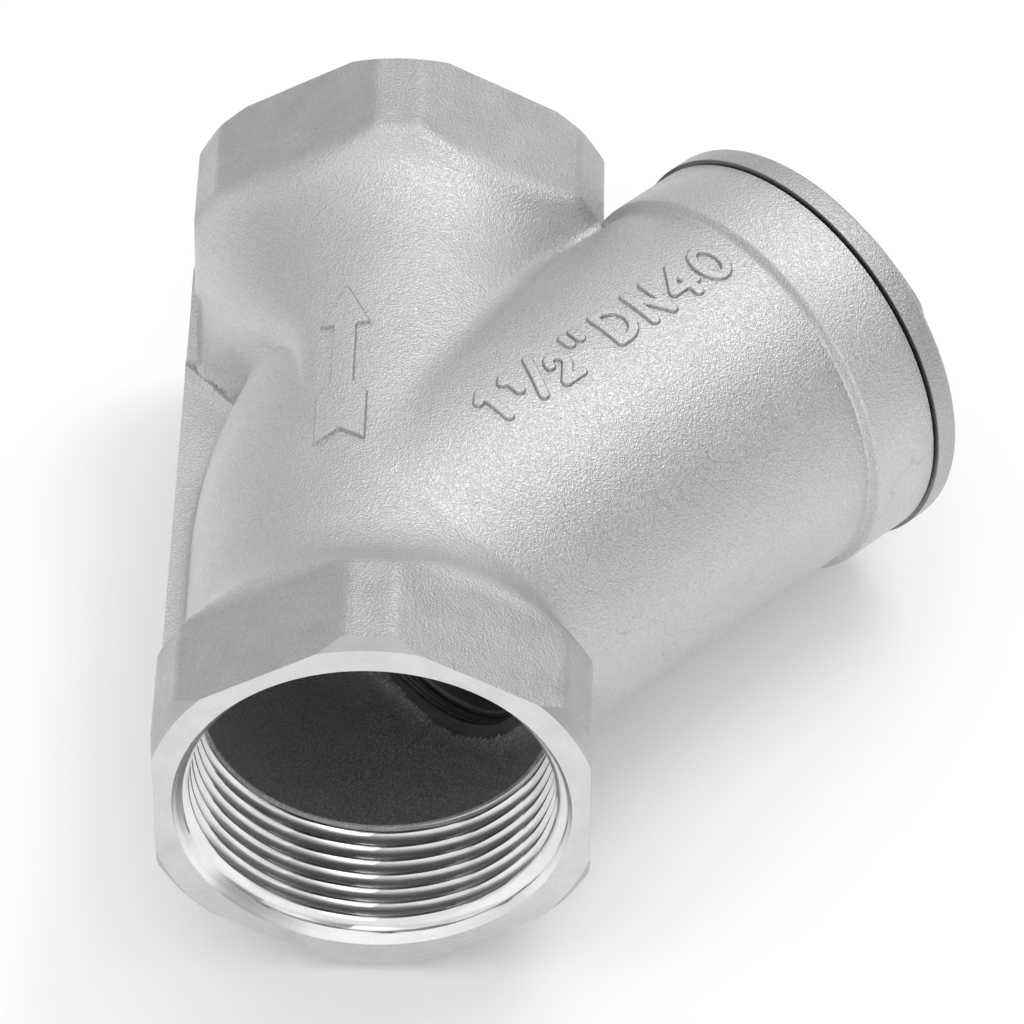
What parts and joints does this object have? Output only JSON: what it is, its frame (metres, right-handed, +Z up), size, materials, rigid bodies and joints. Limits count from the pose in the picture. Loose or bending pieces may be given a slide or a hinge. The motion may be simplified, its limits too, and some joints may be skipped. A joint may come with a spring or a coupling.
{
  "type": "y strainer",
  "caption": "Y strainer with female threaded hex ends, a slanted screen branch closed by a screwed hex cap, and a removable perforated screen inside.",
  "frame": {"origin": "centre of the underside of the whole object's box", "axes": "+Y along the run from inlet to outlet, +X towards the branch side, +Z up, square to the plane of the run and branch"},
  "size_m": [0.099, 0.107, 0.0578],
  "materials": {
    "cast_steel": "investment cast stainless steel, shot blasted, with bright machined faces and threads",
    "cap_steel": "cast stainless steel, flange rim turned",
    "ptfe": "white PTFE",
    "screen_steel": "rolled perforated stainless sheet",
    "mesh_steel": "fine woven stainless wire cloth"
  },
  "bodies": {
    "housing": {"body": "cast_steel"},
    "screen_set": {"screen_sheet": "screen_steel", "screen_liner": "mesh_steel", "screen_seat_ring": "screen_steel", "screen_cap_ring": "screen_steel"},
    "gasket": {"cap_gasket": "ptfe"},
    "cap": {"cap": "cap_steel"}
  },
  "joints": [
    {"name": "screen_pull", "type": "slide", "parent": "housing", "child": "screen_set", "axis": [0.7071, 0.7071, 0], "range_m": [0, 0.06]},
    {"name": "cap_travel", "type": "slide", "parent": "screen_set", "child": "gasket", "axis": [0.7071, 0.7071, 0], "range_m": [0, 0.0145]},
    {"name": "cap_turn", "type": "hinge", "parent": "gasket", "child": "cap", "pos_m": [0.02913, 0.03062, 0.0289], "axis": [0.7071, 0.7071, 0], "range_deg": [0, 2265]}
  ],
  "couplings": [
    {"joint": "cap_turn", "follows": "cap_travel", "rad_per_m": 2721.2}
  ]
}
